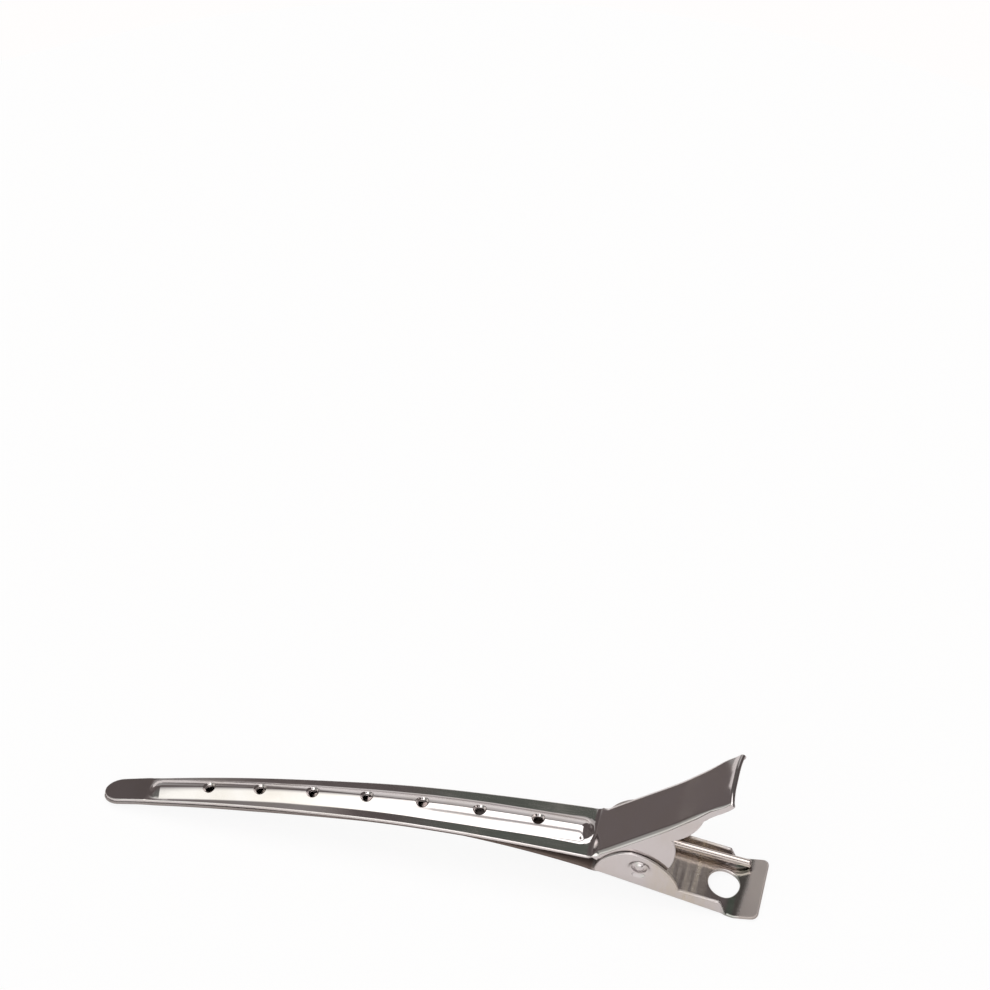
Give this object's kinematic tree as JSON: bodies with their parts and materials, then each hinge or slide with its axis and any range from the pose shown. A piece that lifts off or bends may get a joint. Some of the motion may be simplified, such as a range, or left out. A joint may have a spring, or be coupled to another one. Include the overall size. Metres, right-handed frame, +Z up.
{
  "type": "duckbill hair clip",
  "caption": "Sprung duckbill hair clip, closed: a long ridged and pierced upper jaw with a thumb lever over a slim lower jaw with hinge ears and a round-holed lever.",
  "frame": {"origin": "centre of the clip's footprint, on the surface it lies on", "axes": "+X from the jaws' tip towards the levers, +Y across the clip along the hinge, +Z up away from the surface"},
  "size_m": [0.0888, 0.0102, 0.0214],
  "materials": {
    "nickel_plate": "bright nickel plate on stamped steel sheet",
    "spring_wire": "nickel-plated drawn steel wire"
  },
  "bodies": {
    "lower": {"lower_jaw": "nickel_plate", "spring": "spring_wire"},
    "upper": {"upper_jaw": "nickel_plate"}
  },
  "joints": [
    {"name": "jaw_hinge", "type": "hinge", "parent": "lower", "child": "upper", "pos_m": [0.0286, 0, 0.00677], "axis": [0, 1, 0], "range_deg": [0, 28], "stiffness_Nm_per_rad": 0.08, "springref_deg": -34.38, "deforming": ["spring"]}
  ]
}
